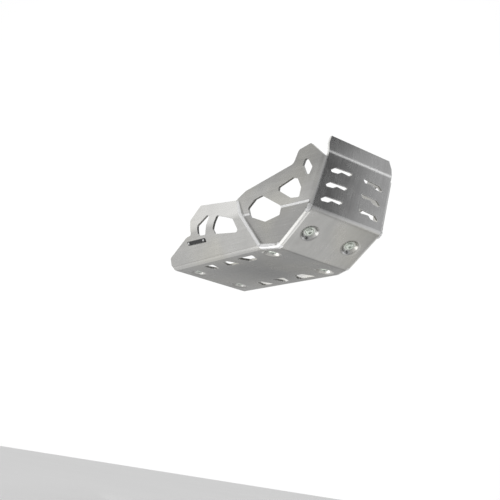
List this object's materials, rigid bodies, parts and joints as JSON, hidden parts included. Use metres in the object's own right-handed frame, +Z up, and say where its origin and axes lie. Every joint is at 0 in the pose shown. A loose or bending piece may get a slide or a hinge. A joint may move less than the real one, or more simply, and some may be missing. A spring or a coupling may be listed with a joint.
{
  "type": "motorcycle skid plate",
  "caption": "Folded aluminium engine guard tray with welded side tabs, window cut-outs, vent slots, top lip and screws in pressed dimples; bolts under a motorcycle engine.",
  "frame": {"origin": "under the middle of the plate, on the outer face of the bottom", "axes": "+Z up, -Y forward towards the upper front and lip, +X to the rider's left"},
  "size_m": [0.1946, 0.4254, 0.1734],
  "materials": {
    "sheet": "satin rolled sheet",
    "ground_weld": "ground and brushed",
    "raw_weld": "as welded",
    "zinc_screw": "zinc plated",
    "badge": "black, satin",
    "rivet": "bright"
  },
  "bodies": {
    "root": {"guard_plate": "sheet", "crease_weld_left": "ground_weld", "crease_weld_right": "ground_weld", "corner_weld_left": "ground_weld", "corner_weld_right": "ground_weld", "lap_weld_left": "ground_weld", "lap_weld_right": "ground_weld", "nose_weld_left": "raw_weld", "nose_weld_right": "raw_weld", "mount_screws": "zinc_screw", "badge_plate": "badge", "badge_rivets": "rivet"}
  },
  "joints": []
}
